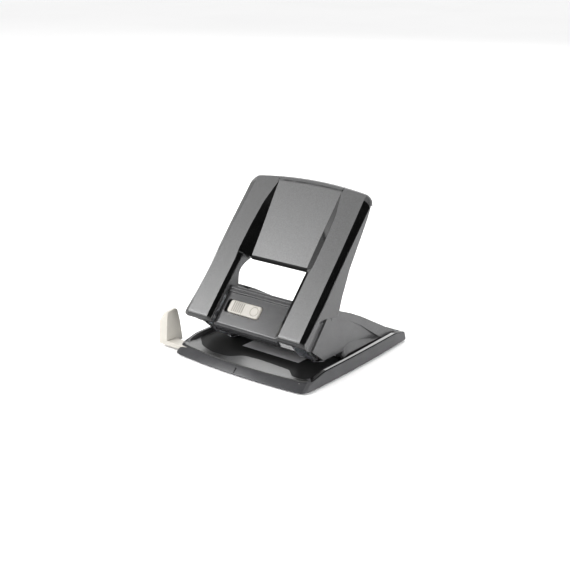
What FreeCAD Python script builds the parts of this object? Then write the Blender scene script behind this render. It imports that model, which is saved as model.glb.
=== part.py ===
import FreeCAD, Part
import os
import re
import Sketcher

# Two-hole desk punch. X runs to the user's right, Y away from the user, Z up.
# The origin is on the table, under the middle of the base. Millimetres and degrees.
# The lever has a local frame of its own: x across, y up its face, z out of its face.

SIZES = {
    # whole object
    "wall": 2.2, "play": 0.05, "seam": 0.3,
    # punching
    "pin_across": 40.0, "pin_back": -19.5, "pin_radius": 3.0, "pin_head_radius": 4.6,
    "pin_head_thick": 1.9,
    # base
    "skirt_bottom": 0.8, "rim_top": 11.0, "front_rim": 7.0,
    "skirt_front": -66.0, "skirt_rear": 68.0, "skirt_front_half": 57.6, "skirt_rear_half": 61.4,
    "front_bow": 2.3, "side_bow": 4.2, "rim_half": 60.6, "rim_front": -57.2, "rim_rear": 66.2,
    "corner_cut": 4.0,
    "deck_top": 7.6, "deck_thick": 1.2, "deck_half": 57.6, "deck_front": -59.4, "deck_rear": 64.0,
    "well_half": 51.0, "well_front": -45.4, "well_rear": 52.0,
    "strip_half": 53.4, "strip_front": -34.0, "strip_back": -9.0,
    "die_radius": 5.5, "die_deep": 3.2, "die_bore": 3.08,
    "foot_across": 56.0, "foot_front": -34.0, "foot_back": 50.0, "foot_half_long": 8.0,
    "foot_half_wide": 3.0, "foot_high": 1.6,
    # paper guide
    "channel_front": -59.9, "channel_back": -48.0, "channel_floor": 2.1, "bar_front": -59.5,
    "bar_back": -50.4, "bar_low": 2.4, "bar_high": 6.0, "bar_right": 54.0, "guide_face": -74.0,
    "guide_thick": 8.0, "guide_high": 29.4, "notch_deep": 0.8,
    # head
    "cheek_out": 53.2, "cheek_in": 50.8, "head_half": 56.4, "head_top_half": 53.5,
    "slot_top": 13.4, "throat_back": -7.4, "bay_back": 8.0, "apron_top": 16.2, "head_rear": 60.8,
    # brackets
    "bracket_in": 33.0, "bracket_out": 47.0, "sheet": 1.5, "bracket_low": 12.6,
    "bracket_rear": 7.0, "bushing_radius": 4.0, "bushing_top": 19.0, "hinge_back": -43.0,
    "hinge_up": 33.0, "axle_radius": 2.5, "axle_half": 48.8, "boss_radius": 6.4, "ear_radius": 8.8,
    "catch_back": -36.1, "catch_up": 42.2, "catch_radius": 1.1,
    # lever
    "lever_front": -58.5, "lever_up": 34.7, "lever_tilt": 47.5, "lever_half": 56.0,
    "lever_long": 125.6, "top_bow": 4.2, "bevel_wide": 4.0, "bevel_deep": 2.8,
    "flange_in": 53.8, "web_out": 32.0, "web_in": 30.0, "window_low": 31.0, "window_high": 56.0,
    "panel_sink": 6.5, "groove_top": 120.3, "arm_in": 36.0, "arm_out": 44.0, "nose_radius": 4.0,
    "nose_up": 38.0, "screw_across": 46.4, "rail_lip": 4.3, "lever_screw_hole": 1.25,
    # lock slider, in the lever's frame
    "slot_left": -26.2, "slot_right": 6.2, "slot_low": 9.8, "slot_high": 20.3,
    "face_sink": 6.0, "slider_right": 5.8, "slider_left": -22.4,
}

# X, Y and the height of the hump's ceiling there
SCREW_SPOTS = [("46", "16", "23"), ("46", "40", "14.4")]
RIVET_SPOTS = [("36.9", "0"), ("43.1", "0")]
# the lever cover's screws, along the lever
LEVER_SCREWS = ("20", "40")
# Y and Z of the tray's trunnions
TRAY_HINGE = ("49", "3.2")
# X of the bar's notches at rest: one for each paper size
GUIDE_STOPS = ("-40", "-9", "34.5", "51")

doc = FreeCAD.newDocument("hole_punch")
sheet = doc.addObject("Spreadsheet::Sheet", "sizes")
for row, (alias, size) in enumerate(SIZES.items(), start=1):
    sheet.set("A%d" % row, str(size))
    sheet.setAlias("A%d" % row, alias)
doc.recompute()


# ---------------------------------------------------------------- expressions

def bound(text):
    """The text with every size name pointed at its cell."""
    return re.sub(r"[a-z]+(_[a-z]+)*", lambda m: "sizes." + m[0] if m[0] in SIZES else m[0], str(text))


def value(text):
    return float(sheet.evalExpression(bound(text)))


def on_lever(along, out):
    """Y and Z of a point given in the lever's own frame."""
    return ("lever_front + (%s)*cos(lever_tilt) - (%s)*sin(lever_tilt)" % (along, out),
            "lever_up + (%s)*sin(lever_tilt) + (%s)*cos(lever_tilt)" % (along, out))


def span(side, low, high):
    """A stretch of X on the right (side 1) or mirrored to the left (side -1)."""
    return (low, high) if side > 0 else ("-(%s)" % high, "-(%s)" % low)


def box(x_low, x_high, y_low, y_high):
    return [(x_low, y_low), (x_high, y_low), (x_high, y_high), (x_low, y_high)]


# ---------------------------------------------------------------- sketches and features

def add_circle(sketch, centre_x, centre_y, radius):
    centre = FreeCAD.Vector(value(centre_x), value(centre_y), 0)
    index = sketch.addGeometry(Part.Circle(centre, FreeCAD.Vector(0, 0, 1), value(radius)))
    fix_point(sketch, index, 3, centre_x, centre_y)
    number = sketch.addConstraint(Sketcher.Constraint("Radius", index, value(radius)))
    sketch.setExpression("Constraints[%d]" % number, bound(radius))


def fix_point(sketch, index, end, across, up):
    for kind, text in (("DistanceX", across), ("DistanceY", up)):
        number = sketch.addConstraint(Sketcher.Constraint(kind, -1, 1, index, end, value(text)))
        sketch.setExpression("Constraints[%d]" % number, bound(text))


def add_outline(sketch, corners):
    """A closed outline. A corner with a third entry starts an arc that rises by that much."""
    ends = []
    for place, corner in enumerate(corners):
        follower = corners[(place + 1) % len(corners)]
        start = FreeCAD.Vector(value(corner[0]), value(corner[1]), 0)
        finish = FreeCAD.Vector(value(follower[0]), value(follower[1]), 0)
        if len(corner) == 2:
            index = sketch.addGeometry(Part.LineSegment(start, finish))
            ends.append((index, 1, 2))
            continue
        chord = finish - start
        left = FreeCAD.Vector(-chord.y, chord.x, 0).normalize()
        rise = value(corner[2])
        index = sketch.addGeometry(Part.Arc(start, (start + finish) / 2 - left * rise, finish))
        ahead = sketch.getPoint(index, 1).isEqual(start, 1e-6)
        ends.append((index, 1, 2) if ahead else (index, 2, 1))
        radius = "((%s - (%s))^2 + (%s - (%s))^2) / (8*abs(%s)) + abs(%s)/2" % (
            follower[0], corner[0], follower[1], corner[1], corner[2], corner[2])
        number = sketch.addConstraint(Sketcher.Constraint("Radius", index, value(radius)))
        sketch.setExpression("Constraints[%d]" % number, bound(radius))
    for place, (index, first, last) in enumerate(ends):
        after = ends[(place + 1) % len(ends)]
        sketch.addConstraint(Sketcher.Constraint("Coincident", index, last, after[0], after[1]))
        fix_point(sketch, index, first, corners[place][0], corners[place][1])


def draw(body, plane, loops, offset):
    """A sketch on one of the body's own planes, moved along that plane's normal."""
    sketch = body.newObject("Sketcher::SketchObject", "Sketch")
    support = [f for f in body.Origin.OriginFeatures if f.Role == plane + "_Plane"][0]
    sketch.AttachmentSupport = (support, "")
    sketch.MapMode = "FlatFace"
    sketch.setExpression("AttachmentOffset.Base.z", bound(offset))
    for loop in loops:
        if loop[0] == "circle":
            add_circle(sketch, *loop[1:])
        else:
            add_outline(sketch, loop)
    return sketch


def pad(body, plane, loops, low, high):
    feature = body.newObject("PartDesign::Pad", "Pad")
    feature.Profile = draw(body, plane, loops, low)
    feature.setExpression("Length", bound("(%s) - (%s)" % (high, low)))
    return feature


def pocket(body, plane, loops, low, high):
    feature = body.newObject("PartDesign::Pocket", "Pocket")
    feature.Profile = draw(body, plane, loops, high)
    feature.setExpression("Length", bound("(%s) - (%s)" % (high, low)))
    return feature


def loft(body, kind, plane, sections):
    """A ruled loft, added or cut, through (loops, offset) sections."""
    sketches = [draw(body, plane, loops, offset) for loops, offset in sections]
    feature = body.newObject("PartDesign::" + kind, kind)
    feature.Profile = sketches[0]
    feature.Sections = sketches[1:]
    feature.Ruled = True
    return feature


def fillet(body, radius, wanted):
    doc.recompute()
    base = body.Tip
    names = ["Edge%d" % (n + 1) for n, edge in enumerate(base.Shape.Edges) if wanted(edge)]
    feature = body.newObject("PartDesign::Fillet", "Fillet")
    feature.Base = (base, names)
    feature.setExpression("Radius", bound(radius))
    return feature


# ---------------------------------------------------------------- sub-parts

PARTS = []


def new_body(label, in_lever=False):
    body = doc.addObject("PartDesign::Body", label)
    body.Label = label
    if in_lever:
        body.Placement.Rotation = FreeCAD.Rotation(FreeCAD.Vector(1, 0, 0), SIZES["lever_tilt"])
        body.setExpression("Placement.Base.y", bound("lever_front"))
        body.setExpression("Placement.Base.z", bound("lever_up"))
        body.setExpression("Placement.Rotation.Angle", bound("lever_tilt"))
    PARTS.append(body)
    return body


def group(label, members):
    """Identical pieces kept as separate solids in one sub-part."""
    compound = doc.addObject("Part::Compound", label)
    compound.Label = label
    compound.Links = members
    PARTS.append(compound)


def turned(name, rings, place, in_lever=False):
    """A stack of cylinders on one axis: rings are (radius, low, high), place is X and Y."""
    body = doc.addObject("PartDesign::Body", name)
    for radius, low, high in rings:
        pad(body, "XY", [("circle", place[0], place[1], radius)], low, high)
    if in_lever:
        body.Placement.Rotation = FreeCAD.Rotation(FreeCAD.Vector(1, 0, 0), SIZES["lever_tilt"])
        body.setExpression("Placement.Base.y", bound("lever_front"))
        body.setExpression("Placement.Base.z", bound("lever_up"))
        body.setExpression("Placement.Rotation.Angle", bound("lever_tilt"))
    return body


def base_outline(half_front, half_rear, front, rear, bow, swell):
    """Plan of the base: bowed front, swelling sides, cut corners, straight rear."""
    cut = "corner_cut"
    return [
        ("-(%s) + %s" % (half_front, cut), front, bow),
        ("%s - %s" % (half_front, cut), front),
        (half_front, "%s + %s" % (front, cut), swell),
        (half_rear, "%s - %s" % (rear, cut)),
        ("%s - %s" % (half_rear, cut), rear),
        ("-(%s) + %s" % (half_rear, cut), rear),
        ("-(%s)" % half_rear, "%s - %s" % (rear, cut), swell),
        ("-(%s)" % half_front, "%s + %s" % (front, cut)),
    ]


def deck_outline(slack):
    return base_outline("deck_half - %s" % slack, "deck_half - %s" % slack,
                        "deck_front + %s" % slack, "deck_rear - %s" % slack, "front_bow", "0.4")


def make_base_skirt():
    """The moulded frame round the base: slanted front, rising side rims, channel for the guide."""
    body = new_body("base_skirt")
    low = base_outline("skirt_front_half", "skirt_rear_half", "skirt_front", "skirt_rear",
                       "front_bow", "side_bow")
    high = base_outline("rim_half - 1.4", "rim_half - 0.2", "rim_front", "rim_rear", "front_bow", "0.8")
    loft(body, "AdditiveLoft", "XY", [([low], "skirt_bottom"), ([high], "rim_top")])
    swoop = [("skirt_front - 6", "rim_top + 3"), ("-34", "rim_top + 3"), ("-30", "rim_top"),
             ("-40", "rim_top - 0.9"), ("-51", "front_rim + 0.6"), ("-57", "front_rim"),
             ("skirt_front - 6", "front_rim")]
    pocket(body, "YZ", [swoop], "-rim_half - 8", "rim_half + 8")
    pocket(body, "XY", [deck_outline("0")], "deck_top - deck_thick", "rim_top + 1")
    well = box("-well_half", "well_half", "well_front", "well_rear")
    pocket(body, "XY", [well], "skirt_bottom - 1", "deck_top")
    channel = box("-rim_half - 9", "well_half + 4", "channel_front", "channel_back")
    pocket(body, "XY", [channel], "channel_floor", "deck_top - deck_thick")
    recesses = [box("%s*foot_across - foot_half_wide" % s, "%s*foot_across + foot_half_wide" % s,
                    "%s - foot_half_long" % y, "%s + foot_half_long" % y)
                for s in ("-1", "1") for y in ("foot_front", "foot_back")]
    pocket(body, "XY", recesses, "skirt_bottom - 1", "foot_high")
    pocket(body, "YZ", [("circle",) + TRAY_HINGE + ("1.3",)], "-well_half - 2", "well_half + 2")
    return body


def make_deck_plate():
    """The glossy plate that the paper lies on, with a window for the die strip."""
    body = new_body("deck_plate")
    low, high = "deck_top - deck_thick", "deck_top"
    pad(body, "XY", [deck_outline("0.15")], low, high)
    window = box("-strip_half - play", "strip_half + play", "strip_front - play", "strip_back + play")
    holes = [("circle", "%s*%s" % (side, x), y, "1.6") for side in ("-1", "1")
             for x, y in [spot[:2] for spot in SCREW_SPOTS] + RIVET_SPOTS]
    pocket(body, "XY", [window] + holes, "deck_top - 3", "deck_top + 1")


def make_die_strip():
    """The steel strip in the throat; the two dies sit in it and a mark shows the centre."""
    body = new_body("die_strip")
    strip = box("-strip_half", "strip_half", "strip_front", "strip_back")
    dies = [("circle", "%s*pin_across" % s, "pin_back", "die_radius") for s in ("-1", "1")]
    pad(body, "XY", [strip] + dies, "deck_top - deck_thick", "deck_top")
    pocket(body, "XY", [box("-0.3", "0.3", "strip_front - 1", "strip_front + 9")],
           "deck_top - 0.3", "deck_top + 1")


def make_die(label, side):
    body = new_body(label)
    rings = [("circle", "%d*pin_across" % side, "pin_back", r) for r in ("die_radius", "die_bore")]
    pad(body, "XY", rings, "deck_top - die_deep", "deck_top")


def make_rubber_feet():
    feet = []
    for side in ("-1", "1"):
        for spot in ("foot_front", "foot_back"):
            body = doc.addObject("PartDesign::Body", "foot")
            outline = box("%s*foot_across - foot_half_wide + 0.1" % side,
                          "%s*foot_across + foot_half_wide - 0.1" % side,
                          "%s - foot_half_long + 0.1" % spot, "%s + foot_half_long - 0.1" % spot)
            pad(body, "XY", [outline], "0", "foot_high")
            fillet(body, "2", lambda edge: abs(edge.tangentAt(edge.FirstParameter).z) > 0.9)
            feet.append(body)
    group("rubber_feet", feet)


def make_chip_tray():
    """The bottom tray for the punched discs, hung on two trunnions at its rear."""
    body = new_body("chip_tray")
    outer = box("-well_half + seam", "well_half - seam", "well_front + seam", "well_rear - 1.2")
    inner = box("-well_half + 1.7", "well_half - 1.7", "well_front + 1.7", "well_rear - 2.6")
    pad(body, "XY", [outer], "0", "5.7")
    pocket(body, "XY", [inner], "1.2", "7")
    pocket(body, "YZ", [[("well_rear - 5", "-1"), ("well_rear + 1", "-1"), ("well_rear + 1", "3")]],
           "-well_half", "well_half")
    for side in (1, -1):
        low, high = span(side, "well_half - 1.7", "well_half + 1.4")
        pad(body, "YZ", [("circle",) + TRAY_HINGE + ("1.25",)], low, high)
    grip = box("-9", "9", "well_front - 1", "well_front + 4")
    pocket(body, "XY", [grip], "-1", "0.9")


def make_paper_guide():
    """Side stop for the paper on a bar that slides out of the left of the base."""
    body = new_body("paper_guide")
    pad(body, "XY", [box("guide_face", "bar_right", "bar_front", "bar_back")], "bar_low", "bar_high")
    upright = [("bar_front", "bar_low"), ("-41.6", "bar_low"), ("-43.9", "18"),
               ("-46.4", "guide_high - 1.2"), ("-48.6", "guide_high"), ("-56", "guide_high - 1"),
               ("-57.3", "guide_high - 2.2")]
    pad(body, "YZ", [upright], "guide_face - guide_thick", "guide_face")
    slope = [("guide_face - guide_thick - 1", "20"), ("guide_face - guide_thick + 0.9", "22"),
             ("guide_face - 4.6", "26"), ("guide_face - 1.4", "30"),
             ("guide_face - guide_thick - 1", "30")]
    pocket(body, "XZ", [slope], "40", "62")
    for stop in GUIDE_STOPS:
        notch = [("%s - 1.2" % stop, "bar_back + 1"), ("%s - 1.2" % stop, "bar_back"),
                 (stop, "bar_back - notch_deep"), ("%s + 1.2" % stop, "bar_back"),
                 ("%s + 1.2" % stop, "bar_back + 1")]
        pocket(body, "XY", [notch], "bar_low - 1", "bar_high + 1")
    return body


def make_guide_detent():
    """Bent leaf spring behind the bar; its crest drops into the bar's notches."""
    body = new_body("guide_detent")
    leaf = [("-54", "channel_back"), ("-54", "channel_back - 0.5"), ("-45", "channel_back - 0.5"),
            ("-41", "bar_back + 0.25"), ("-40", "bar_back + 0.1"), ("-39", "bar_back + 0.25"),
            ("-35", "channel_back - 0.5"), ("-26", "channel_back - 0.5"), ("-26", "channel_back"),
            ("-35", "channel_back"), ("-39.4", "bar_back + 0.8"), ("-40.6", "bar_back + 0.8"),
            ("-45", "channel_back")]
    pad(body, "XY", [leaf], "bar_low + 0.2", "bar_high - 0.2")


HEAD_TOP = [("-29.4", "41.2"), ("-27.2", "44"), ("-20.5", "46.2"), ("-11.3", "45.4"), ("2.7", "39.7"),
            ("15.7", "33.4"), ("29.2", "25.8"), ("44", "17.6"), ("56.6", "10.9")]


def make_head_cover():
    """The hump behind the throat: two cheeks at the front, a hollow sloping back behind them."""
    body = new_body("head_cover")
    profile = [("throat_back", "deck_top"), ("head_rear", "deck_top"), ("head_rear", "8.8")]
    profile += HEAD_TOP[::-1]
    profile += [("-43.8", "24.2"), ("-30.7", "slot_top"), ("throat_back", "slot_top")]
    pad(body, "YZ", [profile], "-head_half", "head_half")
    for side in (1, -1):
        low, high = span(side, "cheek_out", "head_half + 2")
        recess = [("-60", "6"), ("41.1", "6"), ("41.1", "8.4"), ("27.1", "18"), ("13.6", "27.3"),
                  ("0.6", "34.4"), ("-12", "39.2"), ("-22", "41"), ("-22", "60"), ("-60", "60")]
        pocket(body, "YZ", [recess], low, high)
        flank = [("%d*head_top_half" % side, "60"), ("%d*head_top_half" % side, "34"),
                 ("%d*(head_half + 0.1)" % side, "6"), ("%d*(head_half + 5)" % side, "6"),
                 ("%d*(head_half + 5)" % side, "60")]
        pocket(body, "XZ", [flank], "-80", "80")
    hollow = [("bay_back + wall", "6"), ("54", "6"), ("54", "9.6"), ("36", "15.2"), ("16.6", "22.2"),
              ("bay_back + wall", "23")]
    saddle = [("bay_back - 1", "60"), ("bay_back - 1", "25.4"), ("17", "24.4"), ("38", "16.8"), ("46", "60")]
    pocket(body, "YZ", [saddle], "-cheek_in + 3", "cheek_in - 3")
    pocket(body, "YZ", [hollow], "-cheek_in", "cheek_in")
    bay = [("-60", "apron_top"), ("bay_back", "apron_top"), ("bay_back", "60"), ("-60", "60")]
    pocket(body, "YZ", [bay], "-cheek_in", "cheek_in")
    under = box("throat_back + wall", "bay_back", "6", "apron_top - wall")
    pocket(body, "YZ", [under], "-cheek_in", "cheek_in")
    brow = [("hinge_back + 2", "hinge_up + ear_radius - 0.4"), ("-29", "41"), ("-26", "38"), ("-38", "22"),
            ("-44", "24"), ("hinge_back - 2", "hinge_up - ear_radius + 0.4")]
    for side in (1, -1):
        low, high = span(side, "cheek_in - 1.2", "cheek_in + 0.4")
        pad(body, "YZ", [brow], low, high)
        pad(body, "YZ", [("circle", "hinge_back", "hinge_up", "ear_radius")], low, high)
        low, high = span(side, "bracket_in - seam", "bracket_out + seam")
        pocket(body, "YZ", [box("-60", "bay_back - 0.6", "5", "30")], low, high)
        for across, back, ceiling in SCREW_SPOTS:
            rings = [("circle", "%d*%s" % (side, across), back, r) for r in ("3.6", "1.5")]
            pad(body, "XY", [rings[0]], "deck_top", ceiling)
            pocket(body, "XY", [rings[1]], "deck_top - 1", "11")
    return body


def make_bracket(label, side):
    """Folded steel frame that guides one pin and carries one end of the lever's axle."""
    body = new_body(label)
    cheek = [("throat_back", "deck_top"), ("bracket_rear", "deck_top"), ("bracket_rear", "22"),
             ("-6", "31"), ("-30", "36"), ("hinge_back", "hinge_up + boss_radius"),
             ("hinge_back - boss_radius", "hinge_up"), ("hinge_back - 2", "hinge_up - boss_radius"),
             ("-33", "bracket_low"), ("throat_back", "bracket_low")]
    low, high = span(side, "bracket_in", "bracket_out")
    pad(body, "YZ", [cheek], low, high)
    ear = [("hinge_back + 0.5", "hinge_up + 6"), ("catch_back - 2.1", "catch_up"),
           ("catch_back + 1.9", "catch_up + 0.9"), ("-28", "35")]
    low, high = span(side, "bracket_in", "bracket_in + sheet")
    pad(body, "YZ", [ear], low, high)
    pad(body, "YZ", [("circle", "catch_back", "catch_up", "catch_radius + 1.1")], low, high)
    low, high = span(side, "bracket_in + sheet", "bracket_out - sheet")
    above = [("-60", "60"), ("-60", "bracket_low + sheet"), ("throat_back + sheet", "bracket_low + sheet"),
             ("throat_back + sheet", "deck_top + sheet"), ("bracket_rear - sheet", "deck_top + sheet"),
             ("bracket_rear - sheet", "60")]
    pocket(body, "YZ", [above], low, high)
    spot = ("%d*pin_across" % side, "pin_back")
    pad(body, "XY", [("circle",) + spot + ("bushing_radius",)], "bracket_low", "bushing_top")
    pocket(body, "XY", [("circle",) + spot + ("pin_radius + play",)], "bracket_low - 1", "bushing_top + 1")
    pocket(body, "YZ", [("circle", "hinge_back", "hinge_up", "axle_radius + 0.01")], "-60", "60")
    low, high = span(side, "bracket_in - 1", "bracket_in + sheet + 1")
    pocket(body, "YZ", [("circle", "catch_back", "catch_up", "catch_radius")], low, high)
    rivets = [("circle", "%d*%s" % (side, x), y, "1.6") for x, y in RIVET_SPOTS]
    pocket(body, "XY", rivets, "deck_top - 1", "deck_top + 3")


def make_fasteners():
    """Rivets under the brackets, screws up into the head, screws up into the lever cover."""
    rivets, screws, lever_screws = [], [], []
    for side in (1, -1):
        for across, back in RIVET_SPOTS:
            spot = ("%d*%s" % (side, across), back)
            rivets.append(turned("rivet", [("1.6", "deck_top - deck_thick", "deck_top + sheet"),
                                           ("2.3", "deck_top + sheet", "deck_top + sheet + 1"),
                                           ("2.3", "deck_top - deck_thick - 1", "deck_top - deck_thick")],
                                 spot))
        for across, back, _ in SCREW_SPOTS:
            spot = ("%d*%s" % (side, across), back)
            screws.append(turned("screw", [("1.45", "deck_top - deck_thick", "10.6"),
                                           ("2.8", "deck_top - deck_thick - 1.2", "deck_top - deck_thick")],
                                 spot))
        for along in LEVER_SCREWS:
            spot = ("%d*screw_across" % side, along)
            lever_screws.append(turned("lever_screw", [("1.2", "-6.2", "-3"), ("2.4", "-7.6", "-6.2")],
                                       spot, in_lever=True))
    group("bracket_rivets", rivets)
    group("head_screws", screws)
    group("lever_screws", lever_screws)


def make_pin(label, side):
    """Punch pin with a flat head and a V-ground tip."""
    body = new_body(label)
    spot = ("%d*pin_across" % side, "pin_back")
    head_top = "nose_up - nose_radius - 0.1"
    pad(body, "XY", [("circle",) + spot + ("pin_radius",)], "bracket_low + 0.2",
        "%s - pin_head_thick" % head_top)
    pad(body, "XY", [("circle",) + spot + ("pin_head_radius",)], "%s - pin_head_thick" % head_top, head_top)
    grind = [("pin_back - 3.2", "bracket_low"), ("pin_back + 3.2", "bracket_low"),
             ("pin_back", "bracket_low + 1.6")]
    low, high = span(side, "pin_across - 5", "pin_across + 5")
    pocket(body, "YZ", [grind], low, high)
    return body


def make_washer(label, side):
    """Seat for the top of the return spring, under the pin's head."""
    body = new_body(label)
    spot = ("%d*pin_across" % side, "pin_back")
    top = "nose_up - nose_radius - 0.1 - pin_head_thick"
    pad(body, "XY", [("circle",) + spot + (r,) for r in ("5", "pin_radius + 0.02")],
        "%s - 0.8" % top, top)


def make_spring(label, side):
    """Compression spring round the pin's bushing, from the bracket's floor to the washer."""
    wire, mean = 0.4, value("bushing_radius") + 0.58
    low = value("bracket_low + sheet") + wire + 0.02
    high = value("nose_up - nose_radius - 0.1 - pin_head_thick - 0.8") - wire - 0.02
    helix = Part.makeHelix((high - low) / 6, high - low, mean)
    ring = Part.Wire([Part.Circle(FreeCAD.Vector(mean, 0, 0), FreeCAD.Vector(0, 1, 0), wire).toShape()])
    spring = doc.addObject("Part::Feature", label)
    spring.Shape = Part.Wire(helix.Edges).makePipeShell([ring], True, True)
    spring.Placement.Base = FreeCAD.Vector(side * value("pin_across"), value("pin_back"), low)
    spring.Label = label
    PARTS.append(spring)


def make_lever_axle():
    """Steel rod across both brackets, with a groove near each end for its clip."""
    body = new_body("lever_axle")
    pad(body, "YZ", [("circle", "hinge_back", "hinge_up", "axle_radius")], "-axle_half", "axle_half")
    for side in (1, -1):
        low, high = span(side, "bracket_out + 0.4", "bracket_out + 1.2")
        rings = [("circle", "hinge_back", "hinge_up", r) for r in ("axle_radius + 1", "axle_radius - 0.5")]
        pocket(body, "YZ", [rings[0], rings[1]], low, high)
    clips = []
    for side in (1, -1):
        clip = doc.addObject("PartDesign::Body", "clip")
        low, high = span(side, "bracket_out + 0.4", "bracket_out + 1.2")
        pad(clip, "YZ", [("circle", "hinge_back", "hinge_up", "axle_radius + 1.8"),
                         ("circle", "hinge_back", "hinge_up", "axle_radius - 0.5")], low, high)
        clips.append(clip)
    group("axle_clips", clips)


def make_catch_pin():
    """Steel stub in the left bracket that the lock slider's tongue hooks behind."""
    body = new_body("lock_catch_pin")
    pad(body, "YZ", [("circle", "catch_back", "catch_up", "catch_radius")],
        "-bracket_in - sheet", "-web_in + 0.05")


def make_lever_arm(label, side):
    """Cast arm inside one rail: hinge boss, round nose over the pin, flange under the cover."""
    body = new_body(label)
    low, high = span(side, "arm_in", "arm_out")
    web = [on_lever("4", "-4.3"), on_lever("46", "-4.3"), on_lever("42", "-9"), on_lever("36", "-19"),
           ("pin_back + nose_radius", "nose_up"), ("pin_back - nose_radius", "nose_up"),
           ("hinge_back + 1", "hinge_up - boss_radius + 0.4"), ("hinge_back - 5.4", "hinge_up")]
    pad(body, "YZ", [web], low, high)
    pad(body, "YZ", [("circle", "pin_back", "nose_up", "nose_radius")], low, high)
    flange = [on_lever("8", "-6.2"), on_lever("46", "-6.2"), on_lever("46", "-4.2"),
              on_lever("8", "-4.2")]
    low, high = span(side, "arm_in", "screw_across + 2.6")
    pad(body, "YZ", [flange], low, high)
    relief = [on_lever("24", "-9"), on_lever("36", "-9"), on_lever("31", "-18"), on_lever("24", "-16")]
    low, high = span(side, "arm_in - 1", "arm_out + 1")
    pocket(body, "YZ", [relief], low, high)
    pocket(body, "YZ", [("circle", "hinge_back", "hinge_up", "axle_radius + play")], low, high)
    low, high = span(side, "screw_across - lever_screw_hole", "screw_across + lever_screw_hole")
    drilled = [[on_lever("%s %s lever_screw_hole" % (along, way), out)
                for way, out in (("-", "-8"), ("+", "-8"), ("+", "-2"), ("-", "-2"))]
               for along in LEVER_SCREWS]
    pocket(body, "YZ", drilled, low, high)


FLANGE = [("lever_long", "-2.6"), ("82", "-10"), ("66", "-12.7"), ("46", "-19.2"), ("34.5", "-24.3"),
          ("24", "-9"), ("21", "-7"), ("-1", "-7"), ("-2", "-5")]


def make_lever_cover():
    """The moulded lever: two rails, a sunk panel between them and deep side flanges."""
    body = new_body("lever_cover", in_lever=True)
    pad(body, "YZ", [[("0", "0"), ("lever_long", "0")] + FLANGE], "-lever_half", "lever_half")
    keep = [("-lever_half", "-9"), ("lever_half", "-9"), ("lever_half", "116.5"),
            ("lever_half - 4.4", "lever_long - top_bow", "top_bow"),
            ("-lever_half + 4.4", "lever_long - top_bow"), ("-lever_half", "116.5")]
    around = box("-lever_half - 9", "lever_half + 9", "-12", "lever_long + 9")
    pocket(body, "XY", [around, keep], "-30", "1")
    for side in ("-1", "1"):
        bevel = [("%s*(lever_half - bevel_wide)" % side, "0"), ("%s*(lever_half - bevel_wide)" % side, "1"),
                 ("%s*(lever_half + 1)" % side, "1"), ("%s*(lever_half + 1)" % side, "-bevel_deep"),
                 ("%s*lever_half" % side, "-bevel_deep")]
        pocket(body, "XZ", [bevel], "-lever_long - 2", "12")
    sections = []
    for along, top, floor in GROOVE:
        sink = "panel_sink*(groove_top - %s)/(groove_top - window_high) + 0.02" % along
        shape = [("-%s" % floor, "-(%s)" % sink), (floor, "-(%s)" % sink),
                 (top, "0.3"), ("-%s" % top, "0.3")]
        sections.append(([shape], "-(%s)" % along))
    loft(body, "SubtractiveLoft", "XZ", sections)
    mouth = [("-web_in", "-1.8"), ("web_in", "-1.8"), ("web_in + 3.4", "0.3"), ("-web_in - 3.4", "0.3")]
    pocket(body, "XZ", [mouth], "-window_high", "12")
    pocket(body, "XY", [box("-web_in", "web_in", "-12", "window_high")], "-40", "2")
    under_panel = [("window_high - 1", "-panel_sink - wall"), ("lever_long - 7", "-wall"),
                   ("lever_long - 7", "-40"), ("window_high - 1", "-40")]
    pocket(body, "YZ", [under_panel], "-web_in", "web_in")
    rail = [("1.6", "-wall"), ("lever_long - 8", "-wall"), ("lever_long - 8", "-40"), ("1.6", "-40")]
    for side in (1, -1):
        low, high = span(side, "web_out + 2.6", "flange_in")
        pocket(body, "YZ", [rail], low, high)
        low, high = span(side, "web_out", "flange_in")
        pocket(body, "YZ", [box("1.6", "lever_long - 8", "-40", "-panel_sink - wall")], low, high)
        low, high = span(side, "web_in - 1", "bracket_in + 2.2")
        pocket(body, "YZ", [box("-3", "27", "-40", "-rail_lip")], low, high)
        pocket(body, "YZ", [WEB_ARCH], low, high)
        for along in LEVER_SCREWS:
            spot = ("%d*screw_across" % side, along)
            pad(body, "XY", [("circle",) + spot + ("3",)], "-4.2", "-1.6")
            pocket(body, "XY", [("circle",) + spot + ("lever_screw_hole",)], "-9", "-2.9")
    return body


# along and out: the hollow under each web beside the window
WEB_ARCH = [("26", "-40"), ("26", "-15.6"), ("31.5", "-15.4"), ("34.5", "-13.4"), ("38", "-10.6"),
            ("41", "-8.3"), ("44.4", "-7.2"), ("48", "-7.6"), ("52", "-9.3"), ("58", "-12.8"), ("62", "-40")]
# along the lever, half width at its face, half width at the sunk panel
GROOVE = (("groove_top", "28.6", "28.4"), ("100", "33", "27.3"), ("78", "34.2", "26.3"),
          ("window_high", "34", "25.5"))


def make_cross_panel():
    """The sunk plate below the finger window, with a raised lip and the lock's slot."""
    body = new_body("cross_panel", in_lever=True)
    top, under = "-face_sink", "-face_sink - 2"
    profile = [("-3", "-13"), ("-1.6", "-7.4"), ("-0.6", "-6.2"), ("1.6", top), ("24.6", top),
               ("26.2", "-5"), ("29.4", "-4.6"), ("window_low", "-5.6"), ("window_low", "-12"),
               ("window_low - 2", "-12"), ("window_low - 2", under), ("0.8", under), ("-0.8", "-13")]
    pad(body, "YZ", [profile], "-web_in + 0.15", "web_in - 0.15")
    pocket(body, "XY", [box("slot_left", "slot_right", "slot_low", "slot_high")], "-9", "-4")
    return body


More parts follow.
